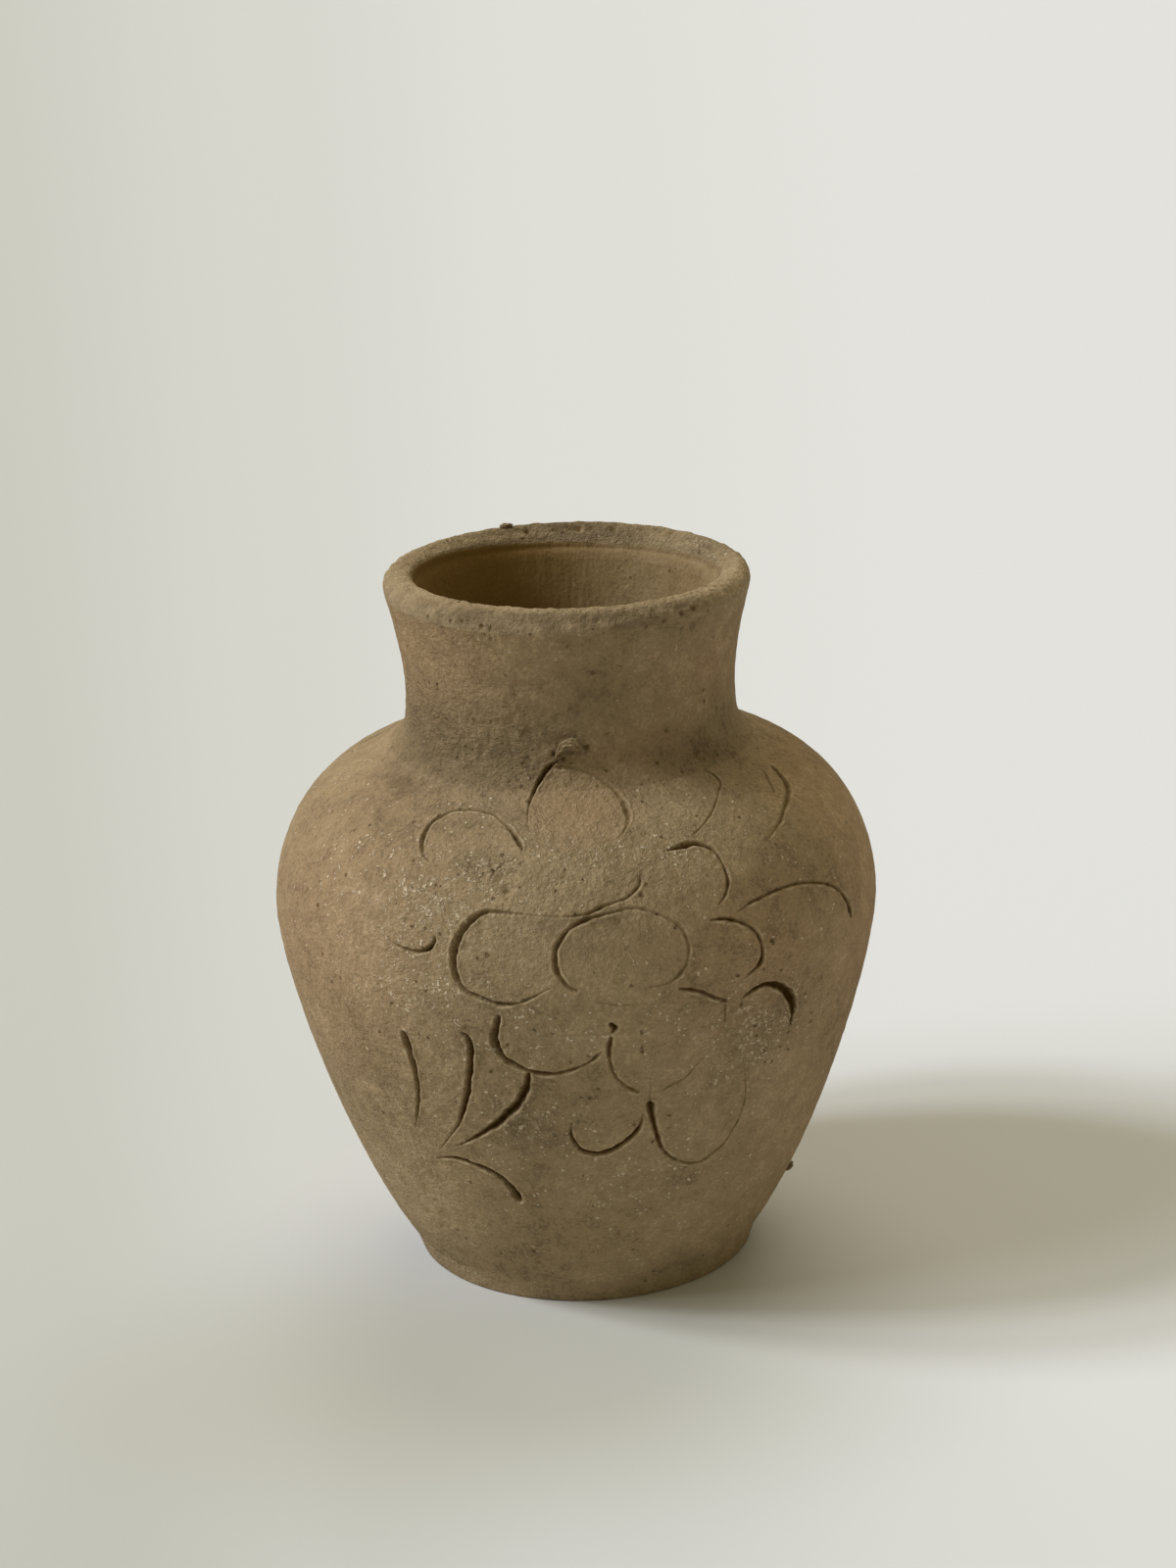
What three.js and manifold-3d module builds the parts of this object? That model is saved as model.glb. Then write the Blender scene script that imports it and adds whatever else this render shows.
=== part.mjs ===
// A small round clay pot with a short flared neck and a flower cut into its wall.
// Units are millimetres and +Z is up. The origin is the centre of the flat underside,
// and the side with the flower faces -Y. The pot is built up from clay members that lap
// into each other, as a potter joins them, and from the three bits of clay stuck to it.
import * as THREE from 'three';
import { mergeVertices } from 'three/addons/utils/BufferGeometryUtils.js';
import Module from 'manifold-3d';

// Foot and floor. The foot's side leans out by its flare, in line with the bowl above it.
const footRadius = 27;
const footFlare = 1.3;
const footHeight = 3.6;
const footChamfer = 0.5;
const floorRise = 2.9;

// Bowl, from the foot's top edge to the girth, which is the widest place
const girthRadius = 47.5;
const bowlHeight = 55.7;
const bowlFlare = 11;
const bowlFlareRise = 16.5;
const bowlUpright = 8.4;
const girthSeamDrop = 7.3;

// Shoulder, a quarter ellipse from the girth in to the fillet at the neck's root
const shoulderReach = 21.1;
const shoulderRise = 24;
const filletReach = 7.2;
const filletRise = 4.2;

// Rim and neck. The neck is as much narrower than the rim as it flares.
const lipRadius = 28.3;
const neckFlare = 2;
const neckRootDraw = 0.35;
const neckWaistDraw = 1;
const neckWaistRise = 7.5;
const neckHeight = 19.7;
const lipHeight = 3.3;
const lipOuterRound = 1.1;
const lipInnerRound = 1.2;
const lipCrown = 1.5;

// Walls and the lap joints between the members
const wallThickness = 4.8;
const lapHeight = 2;
const lapClearance = 0.3;

// Stylus marks: half the width of a cut, which is also its depth
const fineStylus = 0.4;
const plainStylus = 0.55;
const broadStylus = 0.75;
const stylusStep = 2.4;

// Stray clay
const burrRadius = 0.85;
const crumbLength = 2.6;
const crumbWidth = 1.5;
const crumbHeight = 0.8;
const chipLength = 2.1;
const chipWidth = 1.5;
const chipThickness = 0.9;

// Fineness of the round forms
const turnSegments = 48;
const bowlSteps = 8;
const shoulderSteps = 10;
const neckSteps = 7;
const roundSteps = 3;
const stylusSides = 5;
const burrSides = 8;
const crumbSides = 12;
const chipSides = 10;
const chipBands = 6;

// How finely a stroke's places are joined, a share of the outline is found and corners merge
const courseFineness = 10;
const shareTolerance = 1e-7;
const mergeDistance = 1e-4;

// Heights that follow from the sizes above
const footTopRadius = footRadius + footFlare;
const floorHeight = footHeight + floorRise;
const girthHeight = footHeight + bowlHeight;
const girthSeamHeight = girthHeight - girthSeamDrop;

// The shoulder's ellipse, and where the fillet at the neck's root leaves it
const neckRadius = lipRadius - neckFlare;
const shoulderCentre = girthRadius - shoulderReach;
const filletStartRadius = neckRadius + filletReach;
const filletAngle = Math.acos((filletStartRadius - shoulderCentre) / shoulderReach);
const filletStart = new THREE.Vector2(
  filletStartRadius,
  girthHeight + shoulderRise * Math.sin(filletAngle),
);

// The fillet turns at the corner where the shoulder's slope, carried on, meets the neck
const shoulderSlope = (shoulderRise * Math.cos(filletAngle)) / (shoulderReach * Math.sin(filletAngle));
const filletCorner = new THREE.Vector2(neckRadius, filletStart.y + shoulderSlope * filletReach);
const neckFoot = new THREE.Vector2(neckRadius - neckRootDraw, filletCorner.y + filletRise);
const neckSeamHeight = filletCorner.y;
const lipSeamHeight = neckFoot.y + neckHeight;
const potHeight = lipSeamHeight + lipHeight;

// Outline of the outer face, from the foot's top edge to the rim's joint
const wall = new THREE.Path();
wall.moveTo(footTopRadius, footHeight);
wall.bezierCurveTo(
  footTopRadius + bowlFlare, footHeight + bowlFlareRise,
  girthRadius, girthHeight - bowlUpright,
  girthRadius, girthHeight,
);
wall.absellipse(shoulderCentre, girthHeight, shoulderReach, shoulderRise, 0, filletAngle, false, 0);
wall.quadraticCurveTo(filletCorner.x, filletCorner.y, neckFoot.x, neckFoot.y);
wall.quadraticCurveTo(
  neckFoot.x - neckWaistDraw, neckFoot.y + neckWaistRise,
  lipRadius, lipSeamHeight,
);

// A point of the outer face at a share of the outline, and the direction out of the clay
function outerPoint(share) {
  return wall.getPoint(share);
}

function outwardNormal(share) {
  const tangent = wall.getTangent(share);
  return new THREE.Vector2(tangent.y, -tangent.x);
}

// The inner face runs one wall thickness behind the outer one. Below the girth it is
// measured level, so that it reaches down past the floor.
function innerPoint(share) {
  const point = outerPoint(share);
  const normal = outwardNormal(share);
  if (point.y < girthHeight) return new THREE.Vector2(point.x - wallThickness / normal.x, point.y);
  return point.addScaledVector(normal, -wallThickness);
}

// The share of the outline at which a face reaches a height
function shareAt(face, height) {
  let low = 0;
  let high = 1;
  while (high - low > shareTolerance) {
    const middle = (low + high) / 2;
    if (face(middle).y < height) low = middle;
    else high = middle;
  }
  return (low + high) / 2;
}

// Points of a face between two heights, evenly spaced along the outline
function facePoints(face, fromHeight, toHeight, steps) {
  const start = shareAt(face, fromHeight);
  const end = shareAt(face, toHeight);
  const points = [];
  for (let step = 0; step <= steps; step += 1) {
    points.push(face(start + ((end - start) * step) / steps));
  }
  points[0].y = fromHeight;
  points[steps].y = toHeight;
  return points;
}

// A lap joint splits the wall half way through. The member below has a ledge inside the
// seam, and the member above hangs a tongue over it.
function lapRadius(seamHeight) {
  const outer = outerPoint(shareAt(outerPoint, seamHeight)).x;
  const inner = innerPoint(shareAt(innerPoint, seamHeight)).x;
  return (outer + inner) / 2;
}

function ledgePoints(seamHeight) {
  const radius = lapRadius(seamHeight);
  return [new THREE.Vector2(radius, seamHeight), new THREE.Vector2(radius, seamHeight - lapHeight)];
}

function tonguePoints(seamHeight) {
  const radius = lapRadius(seamHeight) - lapClearance;
  const tip = tongueTip(seamHeight);
  return [new THREE.Vector2(radius, tip), new THREE.Vector2(radius, seamHeight)];
}

function tongueTip(seamHeight) {
  return seamHeight - lapHeight + lapClearance;
}

// A closed profile of radius and height, turned round the upright axis
function turned(profile) {
  const geometry = new THREE.LatheGeometry([...profile, profile[0]], turnSegments);
  geometry.rotateX(Math.PI / 2);
  return geometry;
}

const wasm = await Module();
wasm.setup();

function merged(geometry) {
  const plain = geometry.clone();
  plain.deleteAttribute('normal');
  plain.deleteAttribute('uv');
  return mergeVertices(plain, mergeDistance);
}

function toSolid(geometry) {
  const plain = merged(geometry);
  return new wasm.Manifold(new wasm.Mesh({
    numProp: 3,
    vertProperties: new Float32Array(plain.attributes.position.array),
    triVerts: new Uint32Array(plain.index.array),
  }));
}

function toGeometry(solid) {
  const mesh = solid.getMesh();
  const geometry = new THREE.BufferGeometry();
  geometry.setAttribute('position', new THREE.BufferAttribute(mesh.vertProperties, 3));
  geometry.setIndex(new THREE.BufferAttribute(mesh.triVerts, 1));
  geometry.computeVertexNormals();
  return geometry;
}

// A place on the pot: degrees round it from the front, percent of the outline from the
// foot's top edge to the rim's joint, and millimetres out of the clay
function onWall(turn, rise, lift = 0) {
  const share = rise / 100;
  const point = outerPoint(share).addScaledVector(outwardNormal(share), lift);
  const angle = THREE.MathUtils.degToRad(turn);
  return new THREE.Vector3(point.x * Math.sin(angle), -point.x * Math.cos(angle), point.y);
}

// The strokes of the flower and its leaves, as places that the stylus passes through
const strokes = [
  // Petals above the girth
  {
    stylus: fineStylus,
    places: [[-32, 66], [-36.3, 69.5], [-34.5, 73.7], [-27, 75.1], [-19, 74], [-11.3, 69]],
  },
  { stylus: plainStylus, places: [[-11.5, 73], [-12.3, 77], [-10, 79.8], [-4.3, 82.1]] },
  { stylus: fineStylus, places: [[-4.3, 82.1], [3.4, 81.6], [12, 79], [14.2, 75.7], [9.7, 70.5]] },
  { stylus: plainStylus, places: [[20.3, 68], [26.5, 68.3], [30.5, 66.6], [31, 63.3], [27.6, 59.9]] },
  { stylus: fineStylus, places: [[45.6, 78], [44.5, 75.8], [36.3, 72.5], [27.2, 69.5]] },
  { stylus: fineStylus, places: [[-12, 60.8], [-1, 60.5], [8, 62], [13, 65]] },
  // Petals left and right of the middle
  {
    stylus: plainStylus,
    places: [[-12, 60.8], [-18, 60.7], [-22.5, 57], [-22.8, 53], [-18, 49.9], [-12, 49.2], [-5, 51.5]],
  },
  { stylus: fineStylus, places: [[25.5, 58.2], [31, 57.3], [35.2, 53.5], [31, 49.9]] },
  { stylus: fineStylus, places: [[31.4, 58.5], [40, 59.7], [51.8, 58.7], [60, 55.5], [61.6, 52.6]] },
  { stylus: fineStylus, places: [[69, 74.5], [59.5, 70], [51.7, 67.8], [43.3, 65.8]] },
  { stylus: fineStylus, places: [[64.6, 75.1], [60.3, 73.1], [57.8, 71.5]] },
  { stylus: fineStylus, places: [[-37.7, 55.6], [-31, 54.8], [-27, 57]] },
  // Middle of the flower
  { stylus: plainStylus, places: [[-0.5, 51.1], [-4.1, 55], [-1.6, 58.9], [4.5, 60.6]] },
  { stylus: fineStylus, places: [[4.5, 60.6], [12, 60.9], [18, 58.8], [20.2, 55], [17, 51.6], [12, 50.9]] },
  // Petals under the girth
  { stylus: plainStylus, places: [[-14.7, 47.4], [-15.8, 43.5], [-12, 40.2], [-5, 39.2], [3.6, 42.3]] },
  { stylus: broadStylus, places: [[5.2, 46.4], [5.9, 45.9], [6.4, 45.3]] },
  { stylus: fineStylus, places: [[5.4, 44.2], [5.2, 40.8], [10.5, 35.8]] },
  { stylus: plainStylus, places: [[-2.3, 31.2], [-1.6, 27.5], [3, 26], [9.3, 28.2], [11.9, 31.9]] },
  {
    stylus: plainStylus,
    places: [[13.3, 33.3], [15, 28.5], [20.5, 23], [27, 22.1], [33.2, 25.7], [35.1, 31.2]],
  },
  { stylus: fineStylus, places: [[18.1, 50.2], [27.2, 47.3]] },
  { stylus: plainStylus, places: [[31, 47.2], [36.3, 48.1], [42, 45.7], [44.1, 40.3]] },
  // Leaves at the lower left
  { stylus: broadStylus, places: [[-34.6, 42.9], [-33.9, 37.5], [-35, 32.2], [-38, 27.4]] },
  { stylus: broadStylus, places: [[-22, 44.5], [-20.8, 41], [-23, 35], [-27, 29], [-33, 24.4]] },
  { stylus: broadStylus, places: [[-10.1, 38.9], [-13, 34], [-20, 29.4], [-29.3, 25.4]] },
  { stylus: broadStylus, places: [[-34.5, 22.7], [-27.6, 23.3], [-20, 21.7], [-15.8, 17.5]] },
];

// A round bar of even sides swept along places on the wall
function sweptBar(places, radius, sides, lift) {
  const course = new THREE.CatmullRomCurve3(places.map(([turn, rise]) => new THREE.Vector3(turn, rise, 0)));
  const rough = course
    .getPoints(courseFineness * places.length)
    .map((place) => onWall(place.x, place.y, lift));
  const length = new THREE.CatmullRomCurve3(rough).getLength();
  const steps = Math.max(2, Math.round(length / stylusStep));
  const path = new THREE.CatmullRomCurve3(
    course.getPoints(steps).map((place) => onWall(place.x, place.y, lift)),
  );
  const section = new THREE.Shape();
  for (let side = 0; side < sides; side += 1) {
    const angle = (2 * Math.PI * side) / sides;
    if (side === 0) section.moveTo(radius, 0);
    else section.lineTo(radius * Math.cos(angle), radius * Math.sin(angle));
  }
  section.closePath();
  return new THREE.ExtrudeGeometry(section, { steps, extrudePath: path, bevelEnabled: false });
}

const cuts = strokes.map(({ stylus, places }) => toSolid(sweptBar(places, stylus, stylusSides, 0)));

function incised(geometry) {
  return toGeometry(cuts.reduce((solid, cut) => solid.subtract(cut), toSolid(geometry)));
}

// The clay slab under the pot, with a raised middle that the wall is set round
function baseDisc() {
  const bossRadius = innerPoint(shareAt(innerPoint, floorHeight)).x - lapClearance;
  const chamferFlare = (footFlare * footChamfer) / footHeight;
  return turned([
    new THREE.Vector2(0, 0),
    new THREE.Vector2(footRadius - footChamfer, 0),
    new THREE.Vector2(footRadius + chamferFlare, footChamfer),
    new THREE.Vector2(footTopRadius, footHeight),
    new THREE.Vector2(bossRadius, footHeight),
    new THREE.Vector2(bossRadius, floorHeight),
    new THREE.Vector2(0, floorHeight),
  ]);
}

// The bowl from the foot to the seam under the girth
function lowerWall() {
  const outer = facePoints(outerPoint, footHeight, girthSeamHeight, bowlSteps);
  const ledge = ledgePoints(girthSeamHeight);
  const inner = facePoints(innerPoint, floorHeight, girthSeamHeight - lapHeight, bowlSteps).reverse();
  const seat = new THREE.Vector2(inner[inner.length - 1].x, footHeight);
  return incised(turned([...outer, ...ledge, ...inner, seat]));
}

// The upper belly, from the seam under the girth to the joint in the neck's fillet
function shoulderWall() {
  const outer = facePoints(outerPoint, girthSeamHeight, neckSeamHeight, shoulderSteps);
  const ledge = ledgePoints(neckSeamHeight);
  const inner = facePoints(
    innerPoint, tongueTip(girthSeamHeight), neckSeamHeight - lapHeight, shoulderSteps,
  ).reverse();
  return incised(turned([...outer, ...ledge, ...inner, ...tonguePoints(girthSeamHeight)]));
}

// The neck, from the joint in its fillet to the rim's joint
function neckCollar() {
  const outer = facePoints(outerPoint, neckSeamHeight, lipSeamHeight, neckSteps);
  const ledge = ledgePoints(lipSeamHeight);
  const inner = facePoints(
    innerPoint, tongueTip(neckSeamHeight), lipSeamHeight - lapHeight, neckSteps,
  ).reverse();
  return incised(turned([...outer, ...ledge, ...inner, ...tonguePoints(neckSeamHeight)]));
}

// A quarter turn between two points, bulging towards a corner
function roundedCorner(from, corner, to) {
  return new THREE.QuadraticBezierCurve(from, corner, to).getPoints(roundSteps);
}

// The thick rim, with a flat crown between two rounded edges
function lipRing() {
  const mouthRadius = lipRadius - wallThickness;
  const outerEdge = roundedCorner(
    new THREE.Vector2(lipRadius, potHeight - lipCrown),
    new THREE.Vector2(lipRadius, potHeight),
    new THREE.Vector2(lipRadius - lipOuterRound, potHeight),
  );
  const innerEdge = roundedCorner(
    new THREE.Vector2(mouthRadius + lipInnerRound, potHeight),
    new THREE.Vector2(mouthRadius, potHeight),
    new THREE.Vector2(mouthRadius, potHeight - lipInnerRound),
  );
  const tip = tongueTip(lipSeamHeight);
  const innerTip = new THREE.Vector2(innerPoint(shareAt(innerPoint, tip)).x, tip);
  const foot = new THREE.Vector2(lipRadius, lipSeamHeight);
  return turned([foot, ...outerEdge, ...innerEdge, innerTip, ...tonguePoints(lipSeamHeight)]);
}

// The curl of clay that the stylus pushed up where it started the top petal
const burrPlaces = [[-5.6, 83.6], [-3.6, 85.3], [0.6, 85.6], [4, 84.8]];

function clayBurr() {
  return sweptBar(burrPlaces, burrRadius, burrSides, burrRadius + lapClearance);
}

// A low crumb with a flat underside, lying at the outer edge of the rim's crown
const rimCrumbTurn = -159;

function rimCrumb() {
  const profile = new THREE.QuadraticBezierCurve(
    new THREE.Vector2(crumbLength / 2, 0),
    new THREE.Vector2(crumbLength / 2, crumbHeight),
    new THREE.Vector2(0, crumbHeight),
  ).getPoints(roundSteps);
  const crumb = new THREE.LatheGeometry([new THREE.Vector2(0, 0), ...profile], crumbSides);
  crumb.rotateX(Math.PI / 2);
  crumb.scale(1, crumbWidth / crumbLength, 1);
  crumb.translate(0, crumbWidth / 2 + lipOuterRound - lipRadius, potHeight);
  crumb.rotateZ(THREE.MathUtils.degToRad(rimCrumbTurn));
  return crumb;
}

// A rounded chip, longest up the wall, low on the right
const wallCrumbPlace = [76, 9.5];

function wallCrumb() {
  const [turn, rise] = wallCrumbPlace;
  const chip = new THREE.SphereGeometry(1, chipSides, chipBands);
  chip.scale(chipThickness / 2, chipWidth / 2, chipLength / 2);
  const slope = outwardNormal(rise / 100);
  chip.rotateY(-Math.atan2(slope.y, slope.x));
  chip.rotateZ(THREE.MathUtils.degToRad(turn - 90));
  const seat = onWall(turn, rise, chipThickness / 2 + lapClearance);
  chip.translate(seat.x, seat.y, seat.z);
  return chip;
}

function piece(name, geometry, colour) {
  const material = new THREE.MeshStandardMaterial({ color: colour, roughness: 0.95, metalness: 0 });
  const mesh = new THREE.Mesh(geometry, material);
  mesh.name = name;
  return mesh;
}

const pot = new THREE.Group();
pot.add(
  piece('base_disc', baseDisc(), 0x85724f),
  piece('lower_wall', lowerWall(), 0x8b775a),
  piece('shoulder_wall', shoulderWall(), 0x917e60),
  piece('neck_collar', neckCollar(), 0x88745a),
  piece('lip_ring', lipRing(), 0x978366),
  piece('clay_burr', clayBurr(), 0xa08c6b),
  piece('rim_crumb', rimCrumb(), 0x6f5f45),
  piece('wall_crumb', wallCrumb(), 0x6a5a3c),
);

export default pot;
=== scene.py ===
# A small round clay pot with a flower cut into its wall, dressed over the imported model.
# Sizes are in millimetres and become metres where a mesh is made. A place on the wall is a
# turn, in degrees round from the front, and a rise, in percent of the outline from the foot.
import math
import bmesh
import bpy
import numpy as np
from mathutils import Matrix, Vector, noise


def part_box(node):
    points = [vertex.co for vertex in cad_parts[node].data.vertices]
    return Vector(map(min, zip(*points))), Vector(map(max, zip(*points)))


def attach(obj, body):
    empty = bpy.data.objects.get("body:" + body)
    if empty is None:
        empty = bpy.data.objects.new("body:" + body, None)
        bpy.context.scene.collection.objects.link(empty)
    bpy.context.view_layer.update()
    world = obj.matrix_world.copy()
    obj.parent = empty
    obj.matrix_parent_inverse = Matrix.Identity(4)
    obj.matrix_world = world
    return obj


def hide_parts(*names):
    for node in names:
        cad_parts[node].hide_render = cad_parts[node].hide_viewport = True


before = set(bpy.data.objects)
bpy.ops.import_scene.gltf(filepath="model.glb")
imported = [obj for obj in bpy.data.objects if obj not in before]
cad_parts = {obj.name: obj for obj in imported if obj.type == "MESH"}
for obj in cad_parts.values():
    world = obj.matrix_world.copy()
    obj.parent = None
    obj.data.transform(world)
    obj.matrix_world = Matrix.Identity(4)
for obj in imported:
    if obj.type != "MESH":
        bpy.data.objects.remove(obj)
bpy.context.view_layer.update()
mm = 0.001
print("frame loaded")


# The pot's outline

outline = {
    "footRadius": 27.0, "footFlare": 1.3, "footHeight": 3.6, "footChamfer": 0.5, "floorHeight": 6.5,
    "flare": 11.0, "flareRise": 16.5, "upright": 8.4,
    "girthRadius": 47.5, "girthHeight": 59.3,
    "shoulderReach": 21.1, "shoulderRise": 24.0, "filletReach": 7.2, "filletRise": 4.2,
    "neckRadius": 26.3, "neckRootDraw": 0.35, "waistDraw": 1.0, "waistRise": 7.5,
    "lipRadius": 28.3, "neckHeight": 19.7, "lipHeight": 3.3,
    "wall": 4.8, "girthSeam": 52.0, "lap": 2.0, "jointGap": 0.02, "skin": 0.05,
}
footSteps = 12
curveSteps = 160


def bezier(points, steps=curveSteps):
    share = np.linspace(0, 1, steps)[:, None]
    rows = [np.array(p, float) for p in points]
    while len(rows) > 1:
        rows = [a * (1 - share) + b * share for a, b in zip(rows[:-1], rows[1:])]
    return rows[0]


def ramp(value, start, end):
    return np.clip((value - start) / (end - start), 0, 1)


def potCurve(o):
    girth = (o["girthRadius"], o["girthHeight"])
    foot = (o["footRadius"] + o["footFlare"], o["footHeight"])
    ground = np.linspace((o["footRadius"], 0), foot, footSteps + 1)
    bowl = bezier([foot, (foot[0] + o["flare"], foot[1] + o["flareRise"]),
                   (girth[0], girth[1] - o["upright"]), girth])
    centre = girth[0] - o["shoulderReach"]
    last = math.acos((o["neckRadius"] + o["filletReach"] - centre) / o["shoulderReach"])
    angle = np.linspace(0, last, curveSteps)
    shoulder = np.column_stack([centre + o["shoulderReach"] * np.cos(angle),
                                girth[1] + o["shoulderRise"] * np.sin(angle)])
    slope = o["shoulderRise"] * math.cos(last) / (o["shoulderReach"] * math.sin(last))
    corner = (o["neckRadius"], shoulder[-1, 1] + slope * o["filletReach"])
    root = (o["neckRadius"] - o["neckRootDraw"], corner[1] + o["filletRise"])
    rim = (o["lipRadius"], root[1] + o["neckHeight"])
    fillet = bezier([shoulder[-1], corner, root])
    neck = bezier([root, (root[0] - o["waistDraw"], root[1] + o["waistRise"]), rim])
    return np.vstack([ground, bowl[1:], shoulder[1:], fillet[1:], neck[1:]]), corner[1], rim[1]


outer, neckSeam, lipSeam = potCurve(outline)
along = np.concatenate([[0], np.cumsum(np.hypot(*np.diff(outer, axis=0).T))])
along -= along[footSteps]
outlineLength = along[-1]
tangent = np.gradient(outer, along, axis=0)
tangent /= np.linalg.norm(tangent, axis=1)[:, None]
outward = np.column_stack([tangent[:, 1], -tangent[:, 0]])
bowlRows = outer[:, 1:] < outline["girthHeight"]
levelInner = np.column_stack([outer[:, 0] - outline["wall"] / outward[:, 0], outer[:, 1]])
inner = np.where(bowlRows, levelInner, outer - outline["wall"] * outward)
potTop = lipSeam + outline["lipHeight"]


def radiusAt(face, height):
    return np.interp(height, face[:, 1], face[:, 0])


def onFace(face, radius, height):
    return np.abs(radius - radiusAt(face, height)) < outline["skin"]


def skinRows(face, low, high, spacing):
    length = np.concatenate([[0], np.cumsum(np.hypot(*np.diff(face, axis=0).T))])
    start, end = np.interp([low, high], face[:, 1], length)
    at = np.linspace(start, end, max(2, round((end - start) / spacing)) + 1)
    return list(zip(np.interp(at, length, face[:, 0]), np.interp(at, length, face[:, 1])))


def lapRadius(seam):
    return (radiusAt(outer, seam) + radiusAt(inner, seam)) / 2


# The stylus strokes. Each place is a turn, a rise and the cut's full width.

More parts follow.
